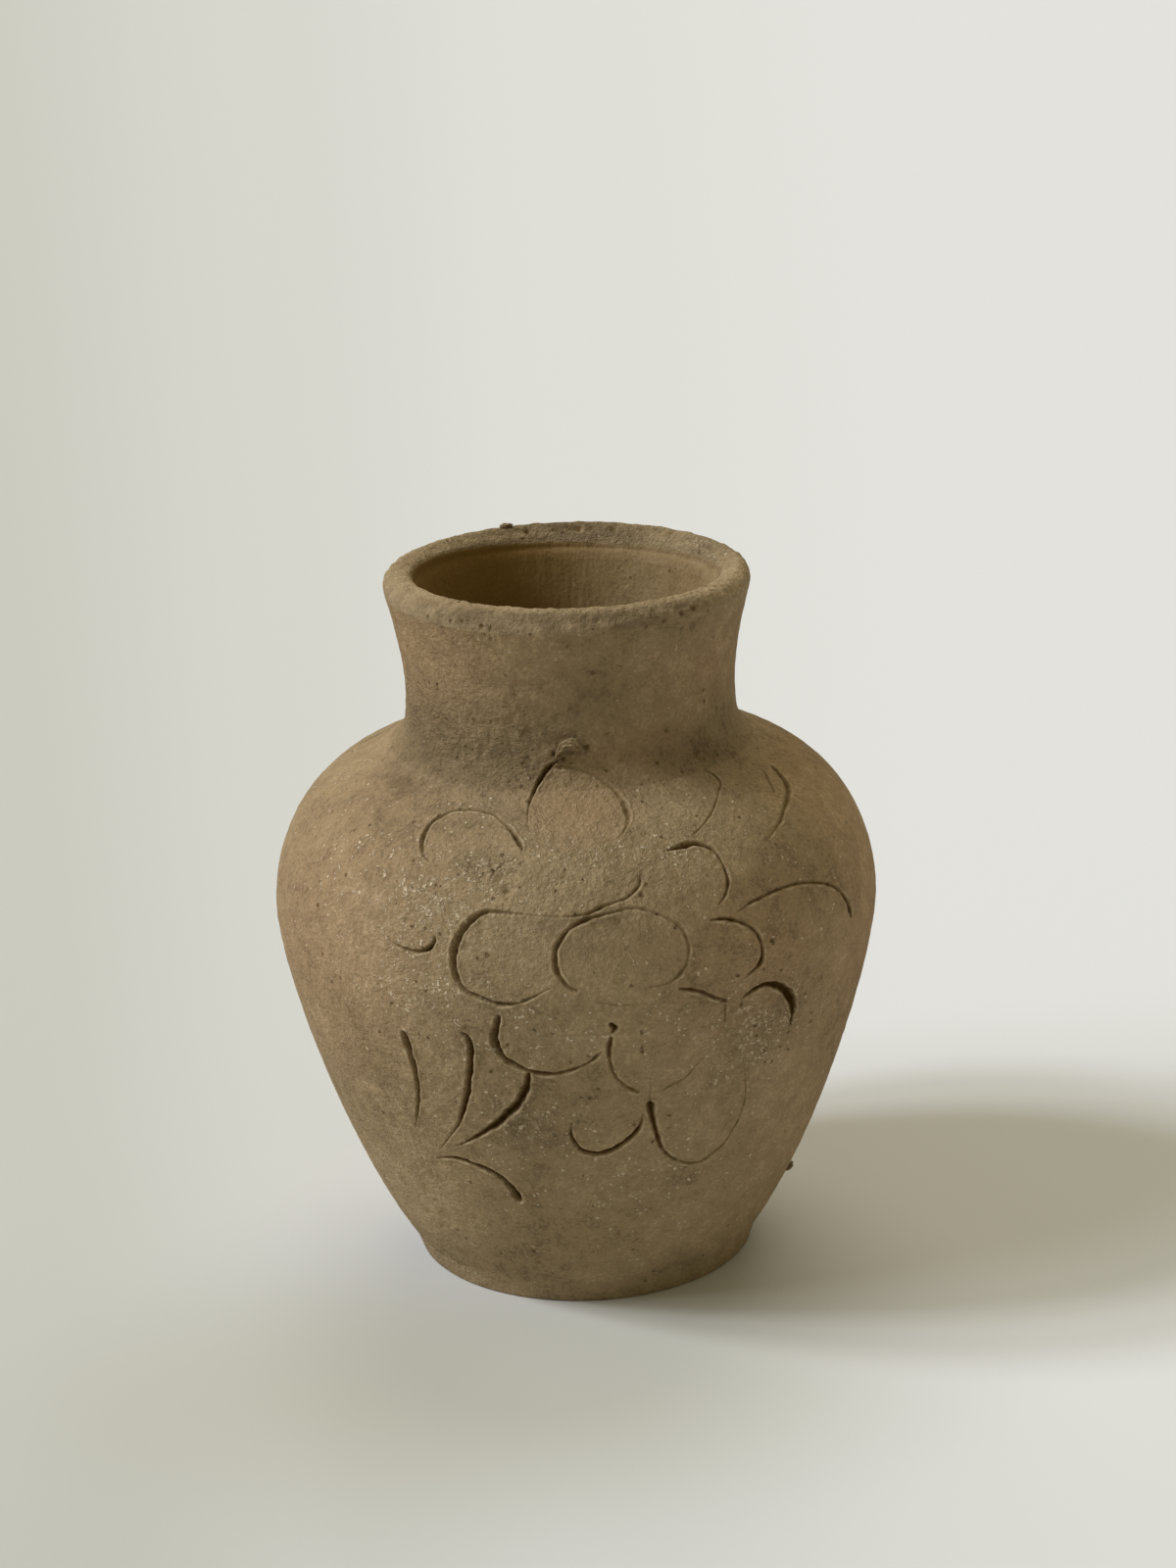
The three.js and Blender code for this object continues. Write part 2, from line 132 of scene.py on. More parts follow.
strokes = {
    "leftPetal": [(-31.8, 66.2, 0.3), (-33.9, 67, 0.5), (-35.6, 68.5, 0.8), (-36.5, 71, 0.8),
        (-35, 73.3, 0.75), (-32, 74.7, 0.7), (-28.4, 75.1, 0.65), (-24.5, 75.1, 0.6), (-21.2, 74.7, 0.5),
        (-17.9, 73.4, 0.45), (-15.2, 72.1, 0.6), (-13.3, 70.7, 0.9), (-12.1, 69.7, 0.6),
        (-11.3, 68.9, 0.2)],
    "leftPetalTail": [(-13, 67.9, 0.2), (-15.5, 66.9, 0.5), (-16.8, 65.9, 0.5), (-17.7, 64, 0.15)],
    "topPetalStart": [(-11.5, 73, 0.15), (-12.5, 76, 0.3), (-12.4, 78, 0.5), (-11.2, 79.9, 0.8),
        (-9.6, 81.2, 0.8), (-7.6, 82.2, 0.9), (-5.6, 82.7, 0.6), (-4.6, 83, 0.3)],
    "topPetalArch": [(-8, 81.7, 0.4), (-5.3, 82.1, 0.7), (-0.8, 82.1, 0.7), (3.4, 81.6, 0.5),
        (7.9, 80.7, 0.5), (11.9, 79, 0.6), (13.6, 77.6, 0.9), (14.2, 75.7, 1.1), (13.8, 73.9, 0.9),
        (12.1, 71.9, 0.5), (9.7, 70.5, 0.2)],
    "rightPetal": [(20.3, 68, 0.5), (23.7, 68.2, 1.1), (26.6, 68.3, 1), (28.9, 67.6, 0.8),
        (30.4, 66.7, 0.6), (31, 65.2, 0.55), (31.1, 63.3, 0.6), (30.5, 61.9, 0.8), (29.3, 60.8, 0.6),
        (27.6, 59.9, 0.3)],
    "farRightLeaf": [(45, 79, 0.35), (46.6, 77.7, 0.6), (46, 76.3, 0.4), (41.8, 74.8, 0.33),
        (36.3, 72.5, 0.36), (32.9, 71.2, 0.33), (28.8, 69.9, 0.33), (27.2, 69.5, 0.2)],
    "underTopPetal": [(-12.1, 60.8, 0.4), (-9.9, 60.7, 0.35), (-5.3, 60.5, 0.3), (-1, 60.5, 0.35),
        (2.1, 60.8, 0.7), (4.6, 61.5, 0.7), (6.2, 61.8, 0.5), (9.7, 62.4, 0.45), (11.4, 63.2, 0.6),
        (12.7, 64, 0.6), (12.9, 65, 0.3)],
    "middle": [(-0.5, 51.1, 0.5), (-1.9, 51.6, 0.7), (-3.3, 52.9, 0.8), (-4.1, 54.3, 0.9),
        (-4.1, 56.3, 0.9), (-3.2, 57.5, 0.8), (-1.6, 58.9, 0.7), (1.4, 60, 0.9), (4.5, 60.5, 0.6),
        (7.3, 60.8, 0.4)],
    "middleRight": [(6, 60.7, 0.4), (10.7, 61.1, 0.55), (13.2, 60.6, 0.55), (15.5, 59.9, 0.55),
        (17.8, 58.9, 0.55), (19.5, 57.7, 0.6), (20.1, 56.2, 0.6), (20.2, 55, 0.6), (19.7, 53.6, 0.5),
        (18.6, 52.5, 0.8), (17.1, 51.6, 0.5), (15, 51.1, 0.4), (12, 50.9, 0.2)],
    "leftOfMiddle": [(-12.1, 60.8, 0.5), (-15.9, 60.9, 0.7), (-17.8, 60.7, 0.9), (-19.6, 59.9, 1.1),
        (-21.3, 58.6, 1.3), (-22.5, 56.9, 1.3), (-23, 55.2, 1.3), (-22.8, 53.2, 1.1), (-21.9, 51.6, 1),
        (-20.2, 50.4, 0.8), (-17.8, 49.9, 0.7), (-15.4, 49.3, 0.7), (-13.6, 49.2, 0.8),
        (-11.3, 49.4, 0.6), (-8.9, 50.1, 0.5), (-7.1, 50.8, 0.4), (-5.1, 51.5, 0.2)],
    "smallRight": [(25.5, 58.2, 0.5), (28.2, 58, 0.7), (30.8, 57.3, 0.7), (33.4, 56.1, 0.55),
        (34.8, 54.6, 0.7), (35.3, 52.8, 0.6), (34.6, 51.3, 0.9), (32.8, 50.5, 0.5), (31, 49.9, 0.2)],
    "farRightPetal": [(31.4, 58.5, 0.3), (34.4, 59.2, 0.6), (36.8, 59.4, 0.7), (40.5, 59.7, 0.7),
        (43.6, 59.7, 0.7), (47.4, 59.5, 0.65), (51.8, 58.7, 0.65), (55.8, 57.6, 0.7), (58.6, 56.3, 0.7),
        (60.3, 55, 0.4)],
    "farRightEnd": [(59.2, 55.8, 0.4), (60.6, 54.4, 0.9), (61.5, 53, 1.2), (61.8, 51.9, 0.7)],
    "edgeLeaf": [(69.2, 74.5, 0.7), (66.4, 72.7, 1.1), (63.8, 71.2, 1.2), (59.5, 69.9, 1.1),
        (55.7, 69, 0.9), (51.7, 67.8, 0.7), (47.5, 66.8, 0.5), (43.3, 65.8, 0.2)],
    "edgeLeafTwin": [(64.6, 75.1, 0.4), (60.3, 73.1, 0.7), (57.8, 71.5, 0.4)],
    "leafLeft": [(-34.6, 42.9, 1.3), (-34.3, 41, 1.5), (-33.9, 38.7, 1.2), (-33.9, 36.5, 1),
        (-34.2, 34.6, 0.9), (-35.1, 32.2, 0.8), (-36.3, 30, 0.6), (-38, 27.4, 0.2)],
    "leafMiddle": [(-22, 44.5, 0.5), (-21.1, 44.1, 0.9), (-20.7, 42.4, 1.1), (-21.1, 40.3, 1.1),
        (-22, 37.7, 1.1), (-23, 35.1, 1.1), (-24.3, 32.8, 1), (-26.2, 29.9, 0.7), (-27.2, 29, 0.5),
        (-30.3, 26.4, 0.35), (-33.2, 24.3, 0.15)],
    "leafRight": [(-10.1, 38.9, 0.9), (-10.6, 37.3, 1.2), (-11.6, 35.7, 1.4), (-13, 34, 1.4),
        (-15.1, 32.5, 1.4), (-17.4, 30.8, 1.3), (-20.3, 29.3, 1), (-23.3, 27.8, 0.7), (-26.5, 26.4, 0.45),
        (-29.3, 25.4, 0.15)],
    "stem": [(-34.5, 22.7, 0.3), (-30.6, 23.4, 0.6), (-27.6, 23.4, 0.8), (-24.4, 22.9, 0.9),
        (-21.3, 22.2, 1), (-18.9, 21.2, 1.1), (-17.3, 19.9, 1.3), (-16.1, 18.2, 1.6), (-15.8, 17.6, 1.5)],
    "lowerLeft": [(-14.7, 47.4, 0.7), (-15.3, 46, 1.2), (-15.9, 44.3, 1.4), (-15.4, 42.5, 1.3),
        (-14.1, 41.1, 1.1), (-12, 40.2, 0.9), (-9.8, 39.5, 0.8), (-7.3, 39.2, 0.8), (-4.7, 39.2, 0.7),
        (-2.1, 39.7, 0.6), (0.5, 40.5, 0.5), (2.3, 41.4, 0.6), (3.6, 42.3, 0.4)],
    "dot": [(5.5, 46.2, 0.8), (6.2, 45.7, 1), (5.7, 45.2, 0.5)],
    "lowerRight": [(5.4, 44.2, 0.8), (5, 42.6, 0.9), (5.2, 40.8, 0.7), (5.9, 38.9, 0.6), (7.2, 37.5, 0.6),
        (8.9, 36.4, 0.6), (10.7, 35.7, 0.6)],
    "bottomLeft": [(-2.3, 31.2, 0.3), (-2.7, 29.5, 0.6), (-2, 28, 0.8), (-0.4, 26.6, 0.9), (2.4, 26, 1),
        (4.9, 26.3, 1), (7.3, 27.1, 0.9), (9.3, 28.2, 0.9), (10.7, 29.2, 0.8), (11.6, 30.6, 0.6),
        (11.9, 31.9, 0.3)],
    "bottomRight": [(13.3, 33.3, 1.7), (13.5, 32.3, 1.2), (14, 30.9, 0.9), (14.9, 28.8, 0.9),
        (16.3, 26.1, 0.7), (18.3, 24.3, 0.6), (20.9, 23, 0.55), (24.4, 22.1, 0.5), (27.4, 22.1, 0.5),
        (29.6, 23.1, 0.4), (31.8, 24, 0.45), (33.2, 25.7, 0.4), (34.3, 27.2, 0.4), (34.9, 29, 0.35),
        (35.1, 31.2, 0.35), (34.2, 33.9, 0.3), (33.2, 36.6, 0.15)],
    "bottomJoin": [(13, 37.8, 0.2), (13.2, 34.6, 0.3), (13.3, 33.3, 0.3)],
    "slant": [(15.4, 35.3, 0.25), (17.5, 36.2, 0.4), (20.2, 36.9, 0.35), (22, 38.5, 0.35),
        (23.9, 39.6, 0.15)],
    "underRight": [(18.1, 50.2, 0.4), (19.9, 49.9, 0.7), (22.2, 49.3, 0.7), (24.5, 48.3, 0.6),
        (27.2, 47.3, 0.6)],
    "underRightDrop": [(27.2, 46.8, 0.4), (27.4, 44.7, 0.35), (27.5, 42.5, 0.15)],
    "hook": [(31.1, 47.2, 0.4), (32, 47.5, 0.6), (34.1, 48.1, 0.7), (36.3, 48.1, 0.9), (39.3, 47.2, 1.3),
        (41.8, 45.7, 1.7), (43.5, 43.9, 1.5), (44.1, 42, 0.9), (44.1, 40.3, 0.4)],
    "smear": [(2.2, 49.7, 0.25), (7, 48.9, 0.4), (10.5, 48.9, 0.25)],
    "leftTick": [(-37.7, 55.6, 0.2), (-34.9, 55.1, 0.4), (-32.3, 54.8, 0.6), (-30, 54.8, 0.7),
        (-28.2, 55.3, 0.8), (-27.1, 56.2, 0.8), (-27, 57, 0.4)],
    "leftScratch": [(-34.9, 61.5, 0.15), (-32.4, 62.1, 0.35), (-27.8, 62.6, 0.15)],
}
stylus = {
    "step": 0.7, "reach": 2.4, "leastRadius": 25, "depth": 0.62, "widening": 1.2, "section": 1.8,
    "lean": (0.8, -0.6), "skew": 0.55, "wobble": 0.16, "waves": (2.3, 0.9),
    "edge": 0.13, "edgeAway": 0.2, "edgeWidth": 0.22, "lumps": (0.8, 0.5, 1.7), "edgeSides": 0.5,
    "bare": 0.02, "paint": (1.12, 1.1), "paintWidths": (0.1, 0.75), "paintLeast": 0.2,
}

# How dark the painted shade in a stroke is and how deep the stroke is beside the usual. The clay was softer in
# some of them.
touch = {
    "leftPetal": (0.8, 1.0), "leftPetalTail": (0.2, 0.8), "topPetalArch": (0.35, 0.5),
    "rightPetal": (0.8, 0.8), "farRightLeaf": (1.0, 0.9), "edgeLeaf": (0.5, 0.55),
    "edgeLeafTwin": (0.5, 0.6), "farRightPetal": (0.7, 0.8), "farRightEnd": (1.4, 1.0),
    "middleRight": (0.35, 0.8), "underTopPetal": (0.7, 0.9), "leftScratch": (0.2, 0.8),
    "smear": (0.7, 0.6), "lowerRight": (0.8, 0.8), "slant": (0.8, 0.9), "stem": (1.1, 1.0),
    "hook": (1.4, 0.9), "middle": (0.65, 1.0), "leftOfMiddle": (0.65, 1.0),
    "lowerLeft": (0.85, 1.0), "topPetalStart": (1.2, 1.1),
}

# Small pits: turn, rise, radius and depth. They are painted dark: painted shade in the hollows.
pits = [(-13.9, 63.5, 0.6, 0.5), (37.6, 53.7, 0.4, 0.5), (-13.7, 29.6, 0.35, 0.35),
        (-9.5, 23.7, 0.5, 0.3), (4.9, 84.4, 0.5, 0.5), (-5.9, 83.7, 0.35, 0.45), (44.5, 82.8, 0.3, 0.4),
        (45.6, 81.3, 0.28, 0.4), (46.9, 80.2, 0.22, 0.35), (53.5, 80.5, 0.3, 0.2), (-3, 83.1, 0.4, 0.4),
        (-14.5, 81.6, 0.25, 0.25), (-12.5, 81.8, 0.22, 0.25), (-13.6, 80.7, 0.25, 0.25),
        (-16.5, 79.6, 0.25, 0.2), (44.4, 81.2, 0.5, 0.25), (37.2, 98.8, 0.3, 0.3),
        (41.5, 99.3, 0.35, 0.3), (-26.3, 99.6, 0.35, 0.3), (-24.2, 99.2, 0.3, 0.25),
        (12.5, 62.6, 0.4, 0.3)]

# Patches of the wall: turn, rise, half width, half height and strength
patches = {
    "flecks": [(-29, 61, 16, 10, 1.0), (-38, 63, 20, 14, 0.6), (5, 68.5, 14, 3.6, 0.8),
        (24, 67.5, 6, 3, 0.9), (35, 41, 10, 8, 1.0), (8, 20, 16, 7, 0.6), (-12, 31, 8, 6, 0.9),
        (-27, 49, 14, 6, 0.95), (-3, 45, 10, 6, 0.75), (-17, 67, 6, 3, 1.0), (-20, 96, 12, 4, 0.25),
        (-12, 45, 20, 8, 0.5), (0, 30, 24, 12, 0.4), (18, 46, 14, 8, 0.4), (33, 62, 12, 8, 0.3)],
    "rough": [(34, 40, 9, 8, 1.0), (-36, 84, 20, 6, 1.2), (-18, 82, 9, 4, 0.9), (-18, 66.5, 5, 3, 1.0),
        (-12, 30, 6, 6, 0.9), (-10, 23, 4, 2.5, 0.7), (-28, 58, 16, 9, 0.5), (5, 66, 14, 6, 0.45),
        (40, 82, 14, 4, 0.7), (59, 80, 6, 4, 0.6), (-20, 44, 22, 9, 0.4), (10, 22, 18, 7, 0.3),
        (36, 43, 12, 9, 0.8), (-8, 72, 5, 5, 0.5), (0, 33, 26, 12, 0.3)],
    # stain: real stains, and painted shade on the neck's front, under the lip and at the neck's root
    "stain": [(-60, 76.5, 9, 3.5, 0.8), (57, 80, 4, 3, 0.3), (45, 81.6, 1.5, 1.8, 0.5),
        (31, 1, 5, 1.5, 0.6), (-66, 57, 1.2, 1.2, 0.8), (70, 83, 6, 3, 0.35), (-45, 80, 16, 4, 0.45),
        (-28, 99, 4, 1.5, 0.5), (42, 99.5, 5, 1.5, 0.5), (-27, 48, 8, 3, 0.35), (0, 92, 28, 7, 0.5),
        (2, 84.5, 3.5, 1.5, 0.5), (40, 24, 16, 12, 0.25), (2, 99.7, 40, 1.6, 0.4), (-44, 30, 20, 18, 0.5),
        (0, 59, 13, 6, 0.58), (-54, 71, 10, 4, 0.5), (30, 31, 12, 9, 0.4)],
    # warm: a warmer, lighter tone; partly the clay's own, partly painted light on the lit left side and on the
    # right side where bounced light falls
    "warm": [(-60, 54, 26, 28, 1.0), (-62, 97, 24, 14, 1.0), (1, 76, 10, 8, 0.8), (80, 48, 24, 36, 1.0),
        (38, 52, 14, 16, 0.8), (55, 92, 12, 8, 0.9), (30, 83, 14, 5, 0.9)],
    "smooth": [(1.1, 76, 8.5, 6.5, 1.0), (8, 55.8, 9, 4.5, 0.7), (-13.5, 55, 6, 5, 0.5),
        (1, 91, 30, 5, 0.4)],
}


def smoothCourse(places):
    # Catmull-Rom curve through the places, then even steps along the wall
    p = np.array(places, float)
    p = np.vstack([2 * p[0] - p[1], p, 2 * p[-1] - p[-2]])
    share = np.linspace(0, 1, 9)[:-1, None]
    runs = []
    for a, b, c, d in zip(p[:-3], p[1:-2], p[2:-1], p[3:]):
        runs.append(0.5 * (2 * b + (c - a) * share + (2 * a - 5 * b + 4 * c - d) * share ** 2
                           + (3 * b - a - 3 * c + d) * share ** 3))
    course = np.vstack(runs + [p[-2:-1]])
    course[:, 1] *= outlineLength / 100
    radius = np.interp(course[:, 1], along, outer[:, 0])
    across = np.radians(np.diff(course[:, 0])) * radius[1:]
    length = np.concatenate([[0], np.cumsum(np.hypot(across, np.diff(course[:, 1])))])
    at = np.linspace(0, length[-1], max(2, round(length[-1] / stylus["step"])) + 1)
    return np.column_stack([np.interp(at, length, course[:, k]) for k in range(3)] + [at])


courses = [(smoothCourse(places), *touch.get(name, (1.0, 1.0))) for name, places in strokes.items()]


def cutMarks(turn, rise):
    # How deep the cuts go, how high their pushed-up edges are, how dark their painted shade is, and
    # how far the nearest cut's edge is. A cut is steepest on the side that the stylus leaned to.
    carve, edge, dark = np.zeros((3, len(turn)))
    gap = np.full(len(turn), 99.0)
    radius = np.interp(rise, along, outer[:, 0])
    reach = stylus["reach"]
    turnReach = math.degrees(reach / stylus["leastRadius"])
    for index, (course, tone, deep) in enumerate(courses):
        low, high = course.min(axis=0), course.max(axis=0)
        near = np.flatnonzero((turn > low[0] - turnReach) & (turn < high[0] + turnReach)
                              & (rise > low[1] - reach) & (rise < high[1] + reach))
        if not len(near):
            continue
        x = np.radians(course[None, :, 0] - turn[near, None]) * radius[near, None]
        y = course[None, :, 1] - rise[near, None]
        dx, dy = np.diff(x, axis=1), np.diff(y, axis=1)
        share = np.clip(-(x[:, :-1] * dx + y[:, :-1] * dy) / (dx * dx + dy * dy + 1e-9), 0, 1)
        awayX, awayY = x[:, :-1] + share * dx, y[:, :-1] + share * dy
        far = np.hypot(awayX, awayY)
        best = far.argmin(axis=1)
        row = np.arange(len(near))
        far = far[row, best]
        at = best + share[row, best]
        width, length = (np.interp(at, np.arange(len(course)), course[:, k]) for k in (2, 3))
        fast, slow = stylus["waves"]
        wave = stylus["wobble"] * np.sin(length * fast + index) * np.sin(length * slow + 2 * index)
        width = width * (1 + wave)
        acrossX, acrossY = dy[row, best], -dx[row, best]
        lean = acrossX * stylus["lean"][0] + acrossY * stylus["lean"][1]
        lean /= np.hypot(acrossX, acrossY) + 1e-9
        side = -np.sign((awayX[row, best] * acrossX + awayY[row, best] * acrossY) * lean)
        deepest = stylus["skew"] * np.abs(lean)
        place = far / (width / 2)
        slope = np.where(side * place < deepest, (deepest - side * place) / (1 + deepest),
                         (side * place - deepest) / (1 - deepest))
        within = place < 1
        cut = stylus["depth"] * deep * width ** stylus["widening"]
        cut *= np.where(within, np.clip(1 - slope ** stylus["section"], 0, 1), 0)
        # The paint is painted shade, darkest along the cut's deepest line
        top, fall = stylus["paint"]
        paint = np.where(within, np.clip(top - slope ** fall, 0, 1), 0)
        thin, wide = stylus["paintWidths"]
        paint *= tone * np.clip((width - thin) / wide, stylus["paintLeast"], 1)
        mean, swing, pace = stylus["lumps"]
        lump = mean + swing * np.sin(length * pace + 3 * index + side)
        lump *= 1 + stylus["edgeSides"] * side
        away = (far - width / 2 - stylus["edgeAway"]) / stylus["edgeWidth"]
        bank = stylus["edge"] * deep * width * lump * np.exp(-away ** 2)
        carve[near] = np.maximum(carve[near], cut)
        dark[near] = np.maximum(dark[near], paint)
        edge[near] = np.maximum(edge[near], np.where(place > 1, bank, 0))
        gap[near] = np.minimum(gap[near], far - width / 2)
    return carve, np.where(carve > stylus["bare"], 0, edge), dark, gap


def turnsAway(turn, place):
    return (turn - place + 180) % 360 - 180


def spread(turn, middle, half):
    return np.exp(-(turnsAway(turn, middle) / half) ** 2)


def patchAt(kind, turn, rise):
    radius = np.interp(rise, along, outer[:, 0])
    total = np.zeros(len(turn))
    for place, height, halfWidth, halfHeight, strength in patches[kind]:
        across = np.radians(turnsAway(turn, place)) * radius / halfWidth
        up = (rise - height * outlineLength / 100) / halfHeight
        total = np.maximum(total, strength * np.exp(-(across ** 2 + up ** 2)))
    return total


def dents(turn, radius, up, holes):
    for place, height, size, depth in holes:
        across = np.radians(turnsAway(turn, place)) * radius
        yield depth * np.exp(-(np.hypot(across, up - height) / size) ** 4)


def roughness(points, scale, seed=0.0):
    return np.array([noise.noise(Vector(p) / scale + Vector((seed, seed, seed))) for p in points])


print("strokes laid out:", len(courses))


# Turning a member, with finer columns where the flower is

wheel = {"columns": 410, "front": (-46, 76), "gain": 2.3, "fade": 4, "samples": 3601, "merge": 0.0001,
         "sharp": 0.7, "spacing": 0.48, "insideSpacing": 1.6, "neckSpacing": 0.8,
         "fine": 1.2, "finest": 0.5}
turns = np.linspace(-180, 180, wheel["samples"])
before, after = ((turns - end) / wheel["fade"] for end in wheel["front"])
weight = 1 + wheel["gain"] / (1 + np.exp(-before)) / (1 + np.exp(after))
share = np.cumsum(weight) - weight[0]
columnTurns = np.interp(np.arange(wheel["columns"]) / wheel["columns"] * share[-1], share, turns)


def places(co):
    turn = np.degrees(np.arctan2(co[:, 0], -co[:, 1]))
    return turn, np.hypot(co[:, 0], co[:, 1]), co[:, 2]


def coordinates(bm):
    return np.array([v.co for v in bm.verts], float).reshape(-1, 3) / mm


def turnMember(profile):
    bm = bmesh.new()
    ring = [bm.verts.new((r * mm, 0, z * mm)) for r, z in profile]
    edges = [bm.edges.new(pair) for pair in zip(ring[:-1], ring[1:])]
    if profile[0][0] > 0:
        edges.append(bm.edges.new((ring[-1], ring[0])))
    bmesh.ops.spin(bm, geom=ring + edges, cent=(0, 0, 0), axis=(0, 0, 1), angle=2 * math.pi,
                   steps=wheel["columns"], use_merge=True, use_duplicate=False)
    bmesh.ops.remove_doubles(bm, verts=bm.verts[:], dist=wheel["merge"] * mm)
    bmesh.ops.recalc_face_normals(bm, faces=bm.faces[:])
    for v in bm.verts:
        radius = math.hypot(v.co.x, v.co.y)
        column = round(math.atan2(v.co.y, v.co.x) / (2 * math.pi) * wheel["columns"]) % wheel["columns"]
        turn = math.radians(columnTurns[column])
        v.co = (radius * math.sin(turn), -radius * math.cos(turn), v.co.z)
    for e in bm.edges:
        e.smooth = not e.is_manifold or e.calc_face_angle() < wheel["sharp"]
    return bm


def refineNearCuts(bm):
    for limit in (wheel["fine"], wheel["finest"]):
        turn, radius, height = places(coordinates(bm))
        gap = cutMarks(turn, np.interp(height, outer[:, 1], along))[-1]
        close = onFace(outer, radius, height) & (gap < limit)
        bm.verts.index_update()
        chosen = [e for e in bm.edges if close[e.verts[0].index] and close[e.verts[1].index]]
        bmesh.ops.subdivide_edges(bm, edges=chosen, cuts=1, use_grid_fill=True)


# Unevenness: height, width and seed of the slow kind and of the sandy grain. Both are sunk a
# little, so that the wall stays inside the CAD. Rough places have more grain, smooth ones less.
handLumps = [(0.1, 19, 0), (0.04, 4.5, 7)]
handGrain = [(0.06, 1.6, 3), (0.045, 0.85, 5)]
hand = {"sunk": 0.14, "rough": 3.2, "smooth": 0.6, "footBlend": 4}

# The inside is painted darker and browner on the left: painted shade on the left inner wall, which the light
# from the left doesn't reach
wiped = {"least": 0.34, "more": 0.66, "middle": 0.5, "swing": 1.2}


def handMade(co, rough, smooth):
    slow, grain = (a * roughness(co, *first) + b * roughness(co, *second)
                   for (a, *first), (b, *second) in (handLumps, handGrain))
    return slow - hand["sunk"] + grain * (1 + hand["rough"] * rough - hand["smooth"] * smooth)


def insideTone(turn):
    left = np.clip(wiped["middle"] - wiped["swing"] * np.sin(np.radians(turn)), 0, 1)
    return wiped["least"] + wiped["more"] * left


def shapeWall(bm):
    # Moves the outer skin to its cuts, pits and unevenness, and returns the paint marks
    co = coordinates(bm)
    turn, radius, height = places(co)
    onOuter = onFace(outer, radius, height) & (height < lipSeam + 0.001)
    rise = np.interp(height, outer[:, 1], along)
    carve, edge, dark = cutMarks(turn, rise)[:3]
    direction = np.column_stack([np.interp(rise, along, outward[:, k]) for k in range(2)])
    footBlend = ramp(height, 0, hand["footBlend"])[:, None]
    direction = direction * footBlend + np.array([1.0, 0.0]) * (1 - footBlend)
    direction /= np.linalg.norm(direction, axis=1)[:, None]
    marks = {kind: patchAt(kind, turn, rise) for kind in patches}
    shift = handMade(co, marks["rough"], marks["smooth"]) + edge - carve
    # Pits are painted dark too: painted shade in the hollows
    holes = [(place, up * outlineLength / 100, size, depth) for place, up, size, depth in pits]
    for dent in dents(turn, radius, rise, holes):
        shift -= dent
        dark = np.maximum(dark, dent)
    moveRows(bm, co, shift, direction, onOuter)
    # The raised banks become the pale ridge mark: a painted highlight
    marks.update(cut=dark, ridge=edge)
    marks = {key: value * onOuter for key, value in marks.items()}
    marks["inside"] = np.where(onFace(inner, radius, height), insideTone(turn), 0.0)
    return marks


def moveRows(bm, co, shift, direction, chosen):
    # Moves the chosen points by their shift along a direction of radius and height
    turn, radius, height = places(co)
    radians = np.radians(turn)
    newRadius = radius + shift * direction[:, 0]
    moved = np.column_stack([newRadius * np.sin(radians), -newRadius * np.cos(radians),
                             height + shift * direction[:, 1]])
    for v, place, move in zip(bm.verts, moved, chosen):
        if move:
            v.co = Vector(place) * mm


markNames = ("cut", "ridge", "flecks", "stain", "smooth", "rough", "inside", "warm")


def finishPiece(name, bm, marks, node, material):
    mesh = bpy.data.meshes.new(name)
    bm.to_mesh(mesh)
    bm.free()
    mesh.polygons.foreach_set("use_smooth", [True] * len(mesh.polygons))
    for key in markNames:
        layer = mesh.attributes.new(key, "FLOAT", "POINT")
        if key in marks:
            layer.data.foreach_set("value", np.asarray(marks[key], np.float32))
    piece = bpy.data.objects.new(name, mesh)
    bpy.context.collection.objects.link(piece)
    mesh.materials.append(material)
    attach(piece, "root")
    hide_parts(node)
    triangles = sum(len(p.vertices) - 2 for p in mesh.polygons)
    print(name, "made,", triangles, "triangles")


# Clay as node groups

def feed(tree, node, values):
    # Each value is an output to link to the socket, or the socket's number or colour
    for key, value in values.items():
        byName = isinstance(key, str)
        socket = next(s for s in node.inputs if s.enabled and s.name == key) if byName else node.inputs[key]
        if isinstance(value, bpy.types.NodeSocket):
            tree.links.new(value, socket)
        else:
            socket.default_value = (*value, 1) if socket.type == "RGBA" else value


def addNode(tree, kind, values, **settings):
    node = tree.nodes.new("ShaderNode" + kind)
    for key, value in settings.items():
        setattr(node, key, value)
    feed(tree, node, values)
    return node


def newGroup(name, inputs, outputs):
    group = bpy.data.node_groups.new(name, "ShaderNodeTree")
    for way, kinds in (("INPUT", inputs), ("OUTPUT", outputs)):
        for kind, labels in kinds.items():
            for label in labels:
                group.interface.new_socket(name=label, in_out=way, socket_type="NodeSocket" + kind)
    return group, group.nodes.new("NodeGroupInput").outputs, group.nodes.new("NodeGroupOutput")


def addNoise(tree, vector, scale, detail, rough, distortion=0.0):
    values = {"Vector": vector, "Scale": scale, "Detail": detail, "Roughness": rough, "Distortion": distortion}
    return addNode(tree, "TexNoise", values).outputs["Fac"]


def addMath(tree, operation, *values, clamp=False):
    return addNode(tree, "Math", dict(enumerate(values)), operation=operation, use_clamp=clamp).outputs[0]


def times(tree, a, b, clamp=False):
    return addMath(tree, "MULTIPLY", a, b, clamp=clamp)


def addMost(tree, value, *others):
    for other in others:
        value = addMath(tree, "MAXIMUM", value, other)
    return value


def addSum(tree, *parts):
    # Adds (value, weight) pairs
    total = times(tree, *parts[0])
    for value, weight in parts[1:]:
        total = addMath(tree, "ADD", total, times(tree, value, weight))
    return total


def addRange(tree, value, low, high, start=0.0, end=1.0):
    # Goes smoothly from start to end while the value goes from low to high
    values = {"Value": value, "From Min": low, "From Max": high, "To Min": start, "To Max": end}
    return addNode(tree, "MapRange", values, interpolation_type="SMOOTHSTEP").outputs["Result"]


def addMix(tree, factor, a, b, blend="MIX"):
    node = addNode(tree, "Mix", {"Factor": factor, "A": a, "B": b}, data_type="RGBA", blend_type=blend)
    return next(s for s in node.outputs if s.enabled)


